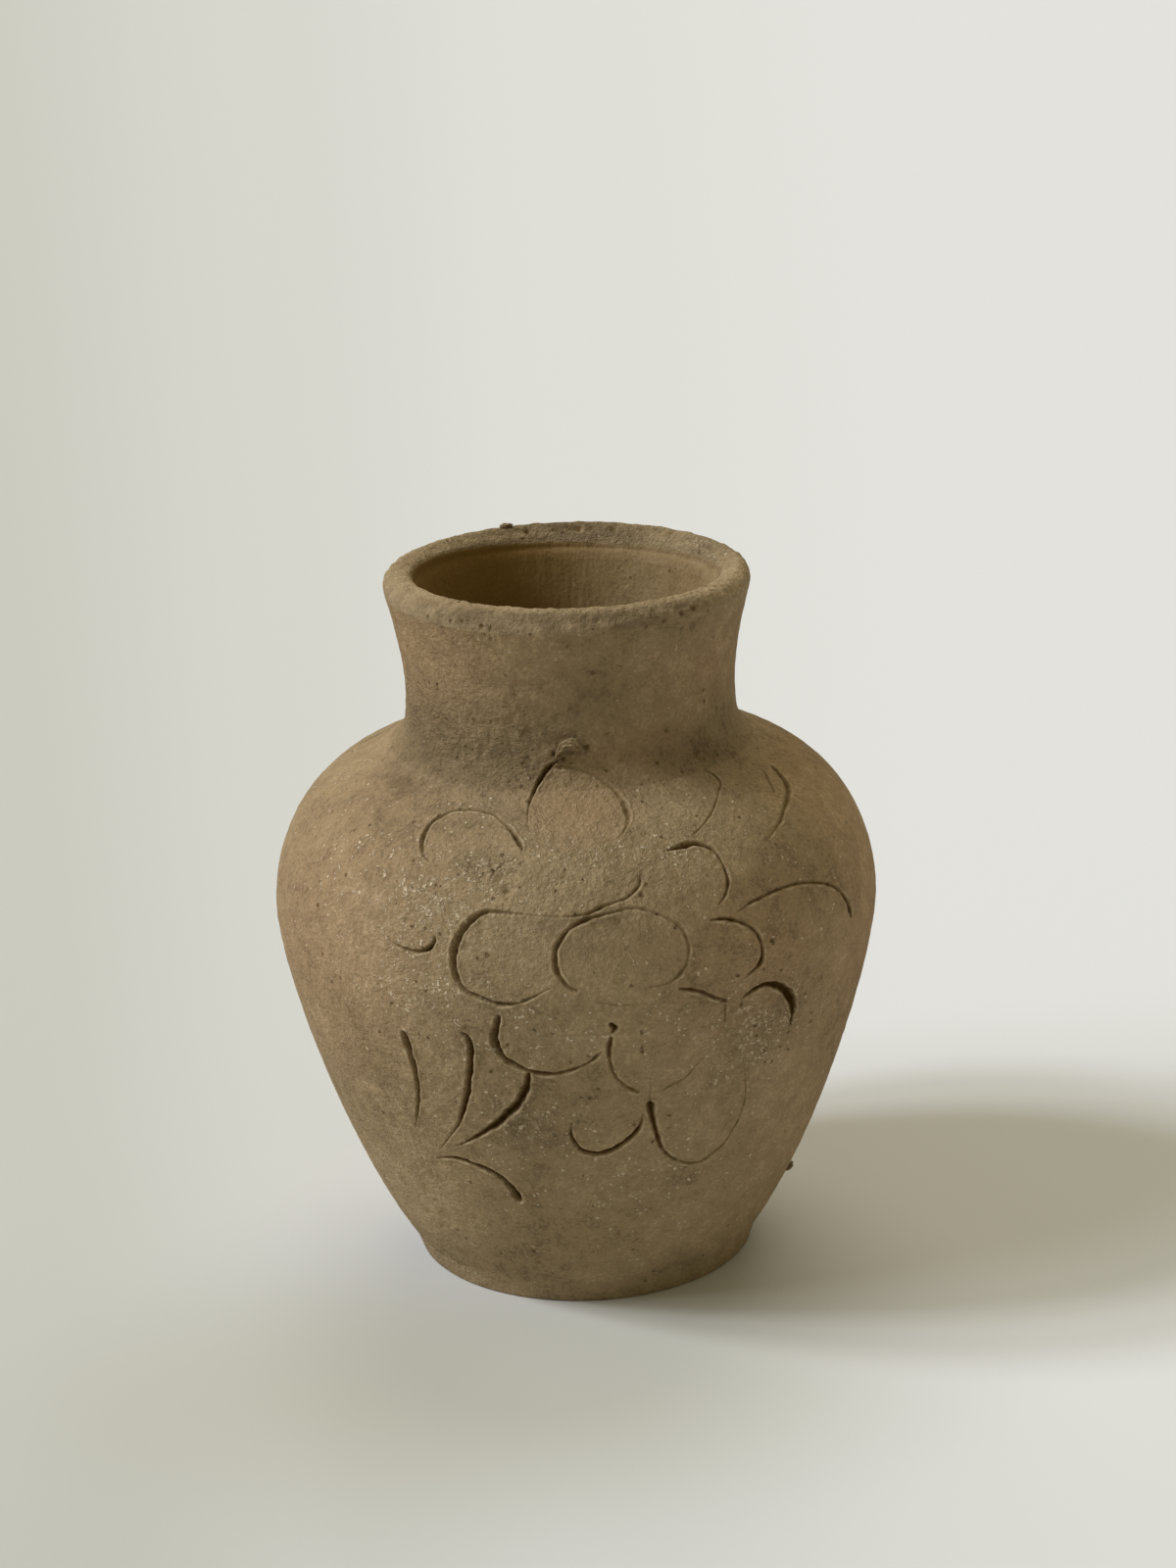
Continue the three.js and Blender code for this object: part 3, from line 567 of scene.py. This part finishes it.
def addGrains(tree, vector, scale, size, share):
    # Single grains: a cell of the pattern holds one where its random number is under the share
    cells = addNode(tree, "TexVoronoi", {"Vector": vector, "Scale": scale}).outputs
    number = addNode(tree, "SeparateColor", {"Color": cells["Color"]}).outputs["Red"]
    chosen = addRange(tree, addMath(tree, "SUBTRACT", share, number), 0.0, 0.03)
    body = addRange(tree, cells["Distance"], size * 0.55, size, 1.0, 0.0)
    return times(tree, chosen, body)


# Noises in the clay: scale, detail, roughness and distortion
sandNoises = {
    "grain": (1450, 3.0, 0.62), "lumps": (620, 1.0, 0.5), "tiny": (3600, 2.0, 0.6),
    "clusters": (260, 2.0, 0.6), "curls": (1250, 1.0, 0.5, 0.9), "flakes": (900, 2.0, 0.6),
    "crust": (820, 3.0, 0.7), "drag": (1050, 4.0, 0.7), "scrape": (700, 2.0, 0.5),
}
stretches = {"drag": (0.75, 0.75, 1.3), "scrape": (1, 1, 0.05)}
# Grains are a scale and a size. A share is a slope and a least value, a range runs as in addRange.
sandShape = {
    "bend": (2600, 0.0006), "clusters": (0.32, 0.68, 0.6, 1.15),
    "pale": (((1750, 0.44), (0.16, 0.012)), ((1000, 0.36), (0.12, 0.012))),
    "curls": (0.03, 0.085, 1.0, 0.0), "flakes": (-0.16, 0.69), "flakeEdge": (0.0, 0.05),
    "grit": 0.8, "crust": (0.52, 0.66, 0.0, 0.6),
    "pit": ((760, 0.26), (0.14, 0.03)), "widePit": ((540, 0.22), 0.16),
    "drag": 3.4, "plain": 0.6,
}


def sandGroup():
    # Sand in the clay: pale grains and flakes, pits, fine grain, and the height they make
    group, start, end = newGroup(
        "sandInClay", {"Vector": ["Vector"], "Float": ["Flecks", "Pits", "Rough", "Inside"]},
        {"Float": ["Fleck", "Pit", "Grain", "Height"]})
    vector = start["Vector"]
    scale, most = sandShape["bend"]
    wander = addNode(group, "TexNoise", {"Vector": vector, "Scale": scale}).outputs["Color"]
    bent = addNode(group, "VectorMath", {0: wander, 1: (most, most, most), 2: vector},
                   operation="MULTIPLY_ADD").outputs[0]
    courses = {key: addNode(group, "Mapping", {"Vector": vector, "Scale": stretch}).outputs["Vector"]
               for key, stretch in stretches.items()}
    noises = {key: addNoise(group, courses.get(key, vector), *values) for key, values in sandNoises.items()}
    amount = times(group, start["Flecks"], addRange(group, noises["clusters"], *sandShape["clusters"]))
    pale = [addGrains(group, bent, *grains, addMath(group, "MULTIPLY_ADD", amount, *share))
            for grains, share in sandShape["pale"]]
    curls = addMath(group, "ABSOLUTE", addMath(group, "SUBTRACT", noises["curls"], 0.5))
    limit = addMath(group, "MULTIPLY_ADD", amount, *sandShape["flakes"])
    flakes = addRange(group, addMath(group, "SUBTRACT", noises["flakes"], limit), *sandShape["flakeEdge"])
    flakes = times(group, flakes, addRange(group, curls, *sandShape["curls"]))
    gritty = times(group, start["Rough"], times(group, amount, sandShape["grit"]), clamp=True)
    crust = times(group, addRange(group, noises["crust"], *sandShape["crust"]), gritty)
    fleck = addMost(group, *pale, flakes, crust)
    grains, share = sandShape["pit"]
    pit = addGrains(group, bent, *grains, addMath(group, "MULTIPLY_ADD", start["Pits"], *share))
    grains, share = sandShape["widePit"]
    pit = addMost(group, pit, addGrains(group, bent, *grains, times(group, start["Rough"], share)))
    drag = times(group, addMath(group, "SUBTRACT", noises["drag"], 0.5), sandShape["drag"])
    grain = noises["grain"]
    height = addSum(group, (grain, 1.1), (noises["tiny"], 0.4), (noises["lumps"], 0.65), (fleck, 0.5),
                    (pit, -0.75), (drag, start["Rough"]))
    plain = addSum(group, (noises["scrape"], 0.6), (grain, 0.35))
    plain = addMath(group, "ADD", plain, sandShape["plain"])
    height = addNode(group, "Mix", {"Factor": start["Inside"], "A": height, "B": plain}).outputs[0]
    feed(group, end, {"Fleck": fleck, "Pit": pit, "Grain": grain, "Height": height})
    return group


# Changes of the clay's colour, from slow ones to mottling and speckles: noise and weight
toneNoises = [((55, 2.0, 0.5), 0.3), ((330, 4.0, 0.65), 0.35), ((1700, 2.0, 0.6), 0.35)]


def toneGroup():
    group, start, end = newGroup("clayTone", {"Vector": ["Vector"], "Color": ["Dark", "Middle", "Pale"]},
                                 {"Color": ["Color"]})
    blend = addSum(group, *[(addRange(group, addNoise(group, start["Vector"], *values), 0.3, 0.7), weight)
                            for values, weight in toneNoises])
    color = addMix(group, addRange(group, blend, 0.1, 0.5), start["Dark"], start["Middle"])
    color = addMix(group, addRange(group, blend, 0.5, 0.95), color, start["Pale"])
    feed(group, end, {"Color": color})
    return group


# What marks do to the colour: the range of the mark, the most that it covers, and its colour
markLabels = ("Cut", "Ridge", "Stain", "Smooth", "Warm", "Inside")
# In the marks' colours, cut is painted shade in cuts and pits, ridge a painted highlight on the cuts' banks
# and pale wear on the rim's edge, stain real stains and painted shade
covers = {
    "smooth": (0.1, 1.0, 0.45, (0.34, 0.245, 0.135)), "ridge": (0.02, 0.13, 0.65, (0.52, 0.4, 0.255)),
    "stain": (0.1, 1.0, 0.55, (0.125, 0.085, 0.046)), "cut": (0.0, 0.5, 0.62, (0.15, 0.095, 0.03)),
    "cutMiddle": (0.3, 1.0, 0.97, (0.066, 0.03, 0.003)),
}
# The inside colour is painted shade on the inner walls
markTones = {"patchy": (380, 3.0, 0.6), "patchRange": (0.3, 0.68, 0.45, 1.35), "warm": (1.14, 1.05, 1.05),
             "inside": (0.225, 0.125, 0.028), "insideMost": 0.8}


def markGroup():
    group, mark, end = newGroup("markTone", {"Vector": ["Vector"], "Color": ["Color"], "Float": markLabels},
                                {"Color": ["Color"]})

    def covered(color, kind, strength):
        low, high, most, shade = covers[kind]
        return addMix(group, addRange(group, strength, low, high, 0.0, most), color, shade)

    patchy = addNoise(group, mark["Vector"], *markTones["patchy"])
    patchy = addRange(group, patchy, *markTones["patchRange"])
    color = covered(mark["Color"], "smooth", mark["Smooth"])
    # Warmer and lighter: partly the clay's own tone, partly painted light on the lit left and the bounce-lit
    # right
    color = addMix(group, mark["Warm"], color, markTones["warm"], "MULTIPLY")
    # Inner walls painted darker and browner: painted shade
    inside = times(group, mark["Inside"], markTones["insideMost"])
    color = addMix(group, inside, color, markTones["inside"])
    # Banks of the cuts painted pale as a painted highlight; the rim's front edge line is pale wear and painted
    # highlight
    color = covered(color, "ridge", mark["Ridge"])
    # Real stains, and painted shade on the neck's front, under the lip and at the neck's root
    color = covered(color, "stain", times(group, mark["Stain"], patchy))
    # Painted shade in the cuts and pits
    color = covered(color, "cut", mark["Cut"])
    color = covered(color, "cutMiddle", mark["Cut"])
    feed(group, end, {"Color": color})
    return group


groups = {"sand": sandGroup(), "tone": toneGroup(), "marks": markGroup()}


def clayMaterial(name, look):
    material = bpy.data.materials.new(name)
    material.use_nodes = True
    tree = material.node_tree
    vector = addNode(tree, "TexCoord", {}).outputs["Object"]
    marks = {key: addNode(tree, "Attribute", {}, attribute_name=key).outputs["Fac"] for key in markNames}
    sand = addNode(tree, "Group", {
        "Vector": vector, "Flecks": addMath(tree, "ADD", marks["flecks"], look["flecks"]),
        "Pits": addMath(tree, "ADD", marks["rough"], look["pits"]),
        "Rough": addMath(tree, "ADD", marks["rough"], look["drag"]),
        "Inside": times(tree, marks["inside"], look["insideGain"], clamp=True),
    }, node_tree=groups["sand"]).outputs
    tones = {label: look[label.lower()] for label in ("Dark", "Middle", "Pale")}
    color = addNode(tree, "Group", {"Vector": vector, **tones}, node_tree=groups["tone"]).outputs["Color"]
    # Pale flecks, and pits painted dark as painted shade in the sand's tiny hollows
    for part, key in (("Fleck", "fleck"), ("Pit", "pit")):
        strength = times(tree, sand[part], look[key + "Strength"])
        color = addMix(tree, strength, color, look[key + "Color"])
    strengths = {label: marks[label.lower()] for label in markLabels}
    strengths.update(Vector=vector, Color=color)
    color = addNode(tree, "Group", strengths, node_tree=groups["marks"]).outputs["Color"]
    bump = addNode(tree, "Bump", {"Strength": look["bump"], "Distance": look["bumpDepth"] * mm,
                                  "Height": sand["Height"]})
    feed(tree, tree.nodes["Principled BSDF"], {
        "Base Color": color, "Specular IOR Level": look["shine"], "Normal": bump.outputs["Normal"],
        "Roughness": addRange(tree, sand["Grain"], *look["roughness"])})
    return material


wallLook = {"dark": (0.222, 0.162, 0.093), "middle": (0.329, 0.24, 0.137), "pale": (0.438, 0.326, 0.194),
            "flecks": 0.1, "fleckStrength": 0.92, "fleckColor": (0.69, 0.57, 0.4),
            "pits": 0.12, "pitStrength": 0.66, "pitColor": (0.1, 0.056, 0.016), "drag": 0.14,
            "bump": 1.0, "bumpDepth": 0.36, "shine": 0.06, "roughness": (0.2, 0.8, 0.86, 0.98),
            "insideGain": 2.2}
print("node groups made")


# Base: the slab under the pot, with the raised middle that is the floor inside

baseLook = dict(wallLook, flecks=0.15)
baseRings = (0, 10, 20)
o = outline
boss = radiusAt(inner, o["floorHeight"]) - o["jointGap"]
chamfer = [(o["footRadius"] - o["footChamfer"], 0), (o["footRadius"], 0),
           (radiusAt(outer, o["footChamfer"]), o["footChamfer"])]
baseProfile = [(r, 0) for r in baseRings] + [tuple(p) for p in bezier(chamfer, 5)]
baseProfile += skinRows(outer, o["footChamfer"], o["footHeight"], wheel["spacing"])[1:]
baseProfile += [(boss, o["footHeight"]), (boss, o["floorHeight"])]
baseProfile += [(r, o["floorHeight"]) for r in baseRings[::-1]]
base = turnMember(baseProfile)
baseMarks = shapeWall(base)
finishPiece("clayBase", base, baseMarks, "base_disc", clayMaterial("baseClay", baseLook))


def seamRows(seam):
    # The step down from the outer face at the top of a member, halfway through the wall
    return [(lapRadius(seam), seam), (lapRadius(seam), seam - o["lap"])]


def innerRows(low, high, spacing, seam=None):
    # The inner face from the top down, and the tongue that stands in the member below
    tongue = [(lapRadius(seam) - o["jointGap"], z) for z in (low, seam)] if seam else []
    return skinRows(inner, low, high, spacing)[::-1] + tongue


def tipUnder(seam):
    return seam - o["lap"] + o["jointGap"]


def makeWall(name, profile, node, material, look):
    wall = turnMember(profile)
    refineNearCuts(wall)
    marks = shapeWall(wall)
    finishPiece(name, wall, marks, node, clayMaterial(material, look))


# Lower wall: the bowl, from the foot to the seam under the girth

girthSeam = o["girthSeam"]
lowerProfile = skinRows(outer, o["footHeight"], girthSeam, wheel["spacing"]) + seamRows(girthSeam)
lowerProfile += innerRows(o["floorHeight"], girthSeam - o["lap"], wheel["insideSpacing"])
lowerProfile += [(radiusAt(inner, o["floorHeight"]), o["footHeight"])]
makeWall("bowlWall", lowerProfile, "lower_wall", "bowlClay", wallLook)


# Shoulder: from the seam under the girth to the joint in the neck's fillet

shoulderLook = dict(wallLook, flecks=0.12)
shoulderProfile = skinRows(outer, girthSeam, neckSeam, wheel["spacing"]) + seamRows(neckSeam)
shoulderProfile += innerRows(tipUnder(girthSeam), neckSeam - o["lap"], wheel["insideSpacing"], girthSeam)
makeWall("shoulderWall", shoulderProfile, "shoulder_wall", "shoulderClay", shoulderLook)


# Neck: from the joint in its fillet to the rim's joint

# The neck's clay is a darker copy of the wall's: painted shade for the neck's dim front
neckLook = dict(wallLook, flecks=0.0, pits=0.0, drag=0.35, dark=(0.203, 0.149, 0.083),
                middle=(0.296, 0.216, 0.12), pale=(0.4, 0.3, 0.175))
neckProfile = skinRows(outer, neckSeam, lipSeam, wheel["spacing"]) + seamRows(lipSeam)
neckProfile += innerRows(tipUnder(neckSeam), lipSeam - o["lap"], wheel["neckSpacing"], neckSeam)
makeWall("neckCollar", neckProfile, "neck_collar", "neckClay", neckLook)


# Rim: the thick rounded ring on top of the neck

lip = {
    "outerRound": 2.4, "innerRound": 1.2, "flare": 0.42, "flareRise": 1.6, "shoulder": 0.1, "core": 2.5,
    "outerRows": 17, "innerRows": 9, "crownRows": 7, "innerStart": 0.4,
    "frontSlope": 1.0, "lean": 0.15, "crown": 0.2, "rightInner": 0.4, "tornDepth": 0.15,
    "backSlope": 2.3, "backTurns": (160, 80), "backRadii": (26.4, 23.8), "backRise": (-0.7, 2.3),
    "torn": (118, 14), "tornInside": (172, 20), "tornInsideShare": 0.7,
    "grainy": 0.5, "tornGrainy": 1.1, "holeDark": 1.6, "frontRidge": 0.15, "ridge": (24.2, 0.45),
}
rimLook = dict(wallLook, flecks=0.0, pits=0.35, drag=0.3, middle=(0.326, 0.237, 0.138),
               pale=(0.43, 0.32, 0.195))
# Pits in the rim: turn, height, radius and depth. They are painted dark: painted shade in the hollows.
rimPits = [(-27, 109.6, 0.45, 0.4), (-24, 109.4, 0.35, 0.3), (-34, 110, 0.35, 0.3), (37, 109.9, 0.4, 0.4),
        (42, 110.3, 0.5, 0.35), (30, 109.3, 0.3, 0.3), (48, 109.2, 0.3, 0.3), (24, 108.9, 0.28, 0.3),
        (-15, 109.3, 0.25, 0.2), (5, 109.8, 0.25, 0.2), (-42, 110.3, 0.3, 0.25), (179, 111.4, 0.35, 0.4),
        (175, 111.2, 0.4, 0.45), (171, 111.4, 0.3, 0.35), (-177, 111.2, 0.3, 0.35),
        (163, 111.3, 0.4, 0.4), (-166, 111.2, 0.45, 0.5), (152, 111.5, 0.3, 0.3), (140, 111.6, 0.4, 0.4)]
mouth = inner[-1, 0]
reach, turnDown = o["lipRadius"], potTop - lip["innerRound"]
outerEdge = bezier([(reach, lipSeam), (reach + lip["flare"], lipSeam + lip["flareRise"]),
                    (reach + lip["shoulder"], potTop), (reach - lip["outerRound"], potTop)], lip["outerRows"])
innerEdge = bezier([(mouth + lip["innerRound"], potTop), (mouth, potTop), (mouth, turnDown)], lip["innerRows"])
crown = [(r, potTop) for r in np.linspace(outerEdge[-1][0], innerEdge[0][0], lip["crownRows"])[1:-1]]
lipProfile = [tuple(p) for p in outerEdge] + crown + [tuple(p) for p in innerEdge]
lipProfile += innerRows(tipUnder(lipSeam), turnDown - lip["innerStart"], wheel["neckSpacing"], lipSeam)


def shapeRim(bm):
    # An uneven rim: it slopes outwards at the front and inwards at the back and right, its
    # edge is torn at the back right, and it has pits under the front edge, painted dark as painted shade
    co = coordinates(bm)
    turn, radius, height = places(co)
    low, high = lip["backRise"]
    inwards = ramp(radius, *lip["backRadii"]) * ramp(height, lipSeam + low, lipSeam + high)
    co[:, 2] -= lip["backSlope"] * inwards * spread(turn, *lip["backTurns"])
    height = co[:, 2]
    shapeWall(bm)
    core = (o["lipRadius"] - o["wall"] / 2, potTop - lip["core"])
    direction = np.column_stack([radius - core[0], height - core[1]])
    direction /= np.linalg.norm(direction, axis=1)[:, None] + 1e-9
    side = ramp(height, lipSeam, lipSeam + 1.5)[:, None]
    direction = outward[-1] * (1 - side) + direction * side
    inside = radius < core[0] - 1
    outside = (radius > core[0] - 1) & (height > lipSeam + 0.01) | (height > potTop - 1.3)
    lift = ramp(height, lipSeam, lipSeam + 2)
    torn = lip["tornInsideShare"] * spread(turn, *lip["tornInside"]) * ramp(radius, 26, 24.5)
    torn = np.maximum(spread(turn, *lip["torn"]), torn) * lift
    shift = handMade(co, lip["grainy"] * lift + lip["tornGrainy"] * torn, 0) - lip["tornDepth"] * torn
    rounding = ramp(height, lipSeam, lipSeam + o["lipHeight"])
    outerHalf = ramp(radius, 24.8, 28.3) * rounding ** 2 * (3 - 2 * rounding)
    rightInner = spread(turn, 95, 40) * ramp(radius, 27, 23.5) * lift
    slope = lip["frontSlope"] * spread(turn, 0, 60) + lip["lean"]
    shift -= outerHalf * slope + lip["rightInner"] * rightInner ** 2
    shift += lip["crown"] * lift * spread(turn, 180, 80) * ramp(radius, 24.6, 26.1)
    holes = np.maximum.reduce(list(dents(turn, radius, height, rimPits)))
    fade = np.where(inside, ramp(height, potTop - 1.4, potTop - 0.2), 1)
    moveRows(bm, co, (shift - holes) * fade, direction, outside | inside & (inwards > 0))
    front = spread(turn, 0, 50)
    # A pale line on the front crown's inner edge: pale wear and a painted highlight
    place, width = lip["ridge"]
    edgeLine = np.exp(-((radius - place) / width) ** 2) * (height > potTop - 0.7)
    # The crown is darker at the front and the back: stains and painted shade
    stained = front * ramp(radius, 24.8, 26.8) * (0.5 + 0.6 * lift) + spread(turn, 175, 38) * lift * 0.75
    mouthWall = (radius < o["lipRadius"] - o["wall"] + 0.3) & (height < potTop - 1)
    # The rim's pits are painted dark: painted shade in the hollows
    return {"cut": holes * lip["holeDark"], "ridge": lip["frontRidge"] * front * edgeLine,
            "stain": stained * (1 - edgeLine * front), "flecks": 0.6 * torn,
            "rough": np.clip(torn + 0.3 * front * outerHalf, 0, 1),
            "inside": np.where(mouthWall, insideTone(turn), 0.0)}


rim = turnMember(lipProfile)
rimMarks = shapeRim(rim)
finishPiece("rimRing", rim, rimMarks, "lip_ring", clayMaterial("rimClay", rimLook))


# Stray clay: a curl at the neck's root, a crumb on the rim, a chip low on the wall

strayLook = dict(wallLook, pits=0.3, middle=(0.262, 0.188, 0.104))
strayClay = clayMaterial("strayClay", strayLook)
# Lumps on stray clay: height, scale and seed
curlShape = {
    # Places of its middle line, with its radius and height over the wall there
    "places": [(-5.9, 82.8, 0.35, 0.05), (-5.3, 83.6, 0.6, 0.22), (-4.3, 84.4, 0.72, 0.38),
               (-2.4, 85, 0.78, 0.5), (0.2, 85.2, 0.85, 0.5), (2.2, 84.9, 0.75, 0.35), (3.9, 84.3, 0.4, 0.05)],
    "fullness": 1.25, "lumps": [(0.4, 2.2, 3), (0.3, 6, 0)],
}
crumbShape = {"radii": (1.05, 0.55, 0.38), "lumps": [(0.4, 1.6, 11), (0.16, 4.5, 0)],
              "tilt": 0, "heading": -159, "lift": 0.12}
chipShape = {"radii": (0.34, 0.6, 0.85), "lumps": [(0.5, 1.6, 23), (0.2, 4.5, 0)],
             "tilt": 28, "heading": -14, "place": (76, 9.5, 0.12)}


def wallPoint(turn, rise, lift):
    at = rise / 100 * outlineLength
    r, z, outR, outZ = (np.interp(at, along, column) for column in (*outer.T, *outward.T))
    r += outR * lift
    angle = math.radians(turn)
    return Vector((r * math.sin(angle), -r * math.cos(angle), z + outZ * lift))


def lumpy(co, lumps):
    return 1 + sum(height * noise.noise(co * scale + Vector((seed, 0, 0))) for height, scale, seed in lumps)


def blob(shape, seat):
    bm = bmesh.new()
    bmesh.ops.create_icosphere(bm, subdivisions=4, radius=1)
    for v in bm.verts:
        v.co = Vector([a * b for a, b in zip(v.co, shape["radii"])]) * lumpy(v.co, shape["lumps"])
    matrix = Matrix.Translation(seat)
    for key, axis in (("heading", "Z"), ("tilt", "Y")):
        matrix = matrix @ Matrix.Rotation(math.radians(shape[key]), 4, axis)
    bmesh.ops.transform(bm, matrix=matrix @ Matrix.Scale(mm, 4), verts=bm.verts[:])
    return bm


curl = bmesh.new()
bmesh.ops.create_icosphere(curl, subdivisions=6, radius=1)
middle = np.array([(*wallPoint(turn, rise, lift), radius) for turn, rise, radius, lift in curlShape["places"]])
knots = np.linspace(-1, 1, len(middle))
for v in curl.verts:
    at = np.array([np.interp(v.co.z, knots, middle[:, k]) for k in range(4)])
    out = Vector((at[0], at[1], 0)).normalized()
    across = math.hypot(v.co.x, v.co.y)
    size = at[3] * min(1, across * curlShape["fullness"]) / max(across, 1e-6)
    size *= lumpy(v.co, curlShape["lumps"])
    v.co = (Vector(at[:3]) + (out * v.co.x + Vector((0, 0, 1)) * v.co.y) * size) * mm
finishPiece("clayCurl", curl, {}, "clay_burr", strayClay)

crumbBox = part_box("rim_crumb")
middle = (crumbBox[0] + crumbBox[1]) / 2
crumb = blob(crumbShape, (middle.x, middle.y, crumbBox[0].z + crumbShape["lift"] * mm))
for v in crumb.verts:
    v.co.z = min(v.co.z, crumbBox[1].z)
finishPiece("rimCrumb", crumb, {}, "rim_crumb", strayClay)

chip = blob(chipShape, wallPoint(*chipShape["place"]) * mm)
finishPiece("wallChip", chip, {}, "wall_crumb", strayClay)


# Floor, light and camera

# The floor's colours by where they lie across the view, by depth, and round the foot: the darker left is
# painted shade, the darker front a painted shade, and the patch round the foot a painted contact shadow
floorTones = [(-0.17, (0.577, 0.578, 0.57)), (-0.085, (0.651, 0.652, 0.66)), (0.0, (0.711, 0.712, 0.738)),
              (0.11, (0.744, 0.745, 0.782))]
floorView = {"back": 0.52, "nearest": 0.4, "evenFrom": (-0.4, -0.13)}
floorFront = {"from": (-0.2, 0.06), "color": (0.93, 0.925, 0.89)}
floorWarm = {"centre": (-0.012, -0.052, 0), "reach": (0.085, 0.055, 1), "from": (0.15, 1.0),
             "color": (0.92, 0.9, 0.8)}


def layFloor():
    # A pale sheet, a little darker to the left of the place that it is seen from, in painted shade, and with
    # painted shade in front and round the foot
    bm = bmesh.new()
    bmesh.ops.create_grid(bm, x_segments=1, y_segments=1, size=8)
    bmesh.ops.translate(bm, vec=(0, 0, -0.05 * mm), verts=bm.verts[:])
    mesh = bpy.data.meshes.new("floor")
    bm.to_mesh(mesh)
    bm.free()
    floor = bpy.data.objects.new("floor", mesh)
    bpy.context.collection.objects.link(floor)
    material = bpy.data.materials.new("paleFloor")
    material.use_nodes = True
    tree = material.node_tree
    vector = addNode(tree, "TexCoord", {}).outputs["Object"]
    place = addNode(tree, "SeparateXYZ", {"Vector": vector}).outputs
    depth = addMost(tree, addMath(tree, "ADD", place["Y"], floorView["back"]), floorView["nearest"])
    across = addMath(tree, "DIVIDE", place["X"], depth)
    color = floorTones[0][1]
    for (low, _), (high, tone) in zip(floorTones[:-1], floorTones[1:]):
        color = addMix(tree, addRange(tree, across, low, high), color, tone)
    even = addRange(tree, place["Y"], *floorView["evenFrom"], 1.0, 0.0)
    color = addMix(tree, even, color, floorTones[2][1])
    away = addNode(tree, "VectorMath", {0: vector, 1: floorWarm["centre"]}, operation="SUBTRACT").outputs[0]
    away = addNode(tree, "VectorMath", {0: away, 1: floorWarm["reach"]}, operation="DIVIDE").outputs[0]
    away = addNode(tree, "VectorMath", {0: away}, operation="LENGTH").outputs["Value"]
    for value, shade in ((place["Y"], floorFront), (away, floorWarm)):
        amount = addRange(tree, value, *shade["from"], 1.0, 0.0)
        color = addMix(tree, amount, color, shade["color"], "MULTIPLY")
    shader = tree.nodes["Principled BSDF"]
    feed(tree, shader, {"Base Color": color, "Roughness": 0.9, "Specular IOR Level": 0.2})
    mesh.materials.append(material)


layFloor()

# A wide window on the left, from its near edge to its far one, and a broad soft light behind
windowColor = (0.875, 0.92, 0.985)
lights = {
    "windowFar": {"towards": (0.741, -0.045, -0.669), "strength": 1.17, "angle": 9, "color": windowColor},
    "windowNear": {"towards": (0.731, 0.134, -0.669), "strength": 1.17, "angle": 9, "color": windowColor},
    "windowEdge": {"towards": (0.67, 0.321, -0.669), "strength": 0.38, "angle": 12, "color": windowColor},
    "skylightBehind": {"towards": (-0.1, -0.607, -0.788), "strength": 0.98, "angle": 50,
                       "color": (1.0, 0.94, 0.755)},
}
for name, light in lights.items():
    lamp = bpy.data.lights.new(name, "SUN")
    lamp.energy = light["strength"]
    lamp.angle = math.radians(light["angle"])
    lamp.color = light["color"]
    lampObject = bpy.data.objects.new(name, lamp)
    lampObject.rotation_mode = "QUATERNION"
    lampObject.rotation_quaternion = Vector(light["towards"]).to_track_quat("-Z", "Y")
    bpy.context.collection.objects.link(lampObject)

# A dim warm room, which shows pale wherever the floor doesn't reach
room = {"color": (1.0, 0.93, 0.57), "strength": 0.265, "shown": (0.68, 0.68, 0.63)}
world = bpy.data.worlds.new("room")
bpy.context.scene.world = world
world.use_nodes = True
roomTree = world.node_tree
dim = roomTree.nodes["Background"]
feed(roomTree, dim, {"Color": room["color"], "Strength": room["strength"]})
shown = addNode(roomTree, "Background", {"Color": room["shown"]})
rays = addNode(roomTree, "LightPath", {}).outputs
seen = addMost(roomTree, *(rays["Is %s Ray" % kind] for kind in ("Camera", "Glossy", "Transmission")))
either = addNode(roomTree, "MixShader", {0: seen, 1: dim.outputs[0], 2: shown.outputs[0]})
feed(roomTree, roomTree.nodes["World Output"], {"Surface": either.outputs[0]})

camera = {"place": (0, -0.5191, 0.2501), "pitch": 18.51, "yaw": 0.26, "roll": 1.67,
          "focalPixels": 3559, "longSide": 1600, "sensor": 36}
lens = bpy.data.cameras.new("photoCamera")
lens.sensor_width = camera["sensor"]
lens.lens = camera["focalPixels"] / camera["longSide"] * lens.sensor_width
eye = bpy.data.objects.new("photoCamera", lens)
eye.matrix_world = (Matrix.Translation(camera["place"])
                    @ Matrix.Rotation(math.radians(-camera["yaw"]), 4, "Z")
                    @ Matrix.Rotation(math.radians(90 - camera["pitch"]), 4, "X")
                    @ Matrix.Rotation(math.radians(-camera["roll"]), 4, "Z"))
bpy.context.collection.objects.link(eye)
bpy.context.scene.camera = eye
bpy.context.scene.view_settings.view_transform = "Standard"
print("floor, light and camera set")
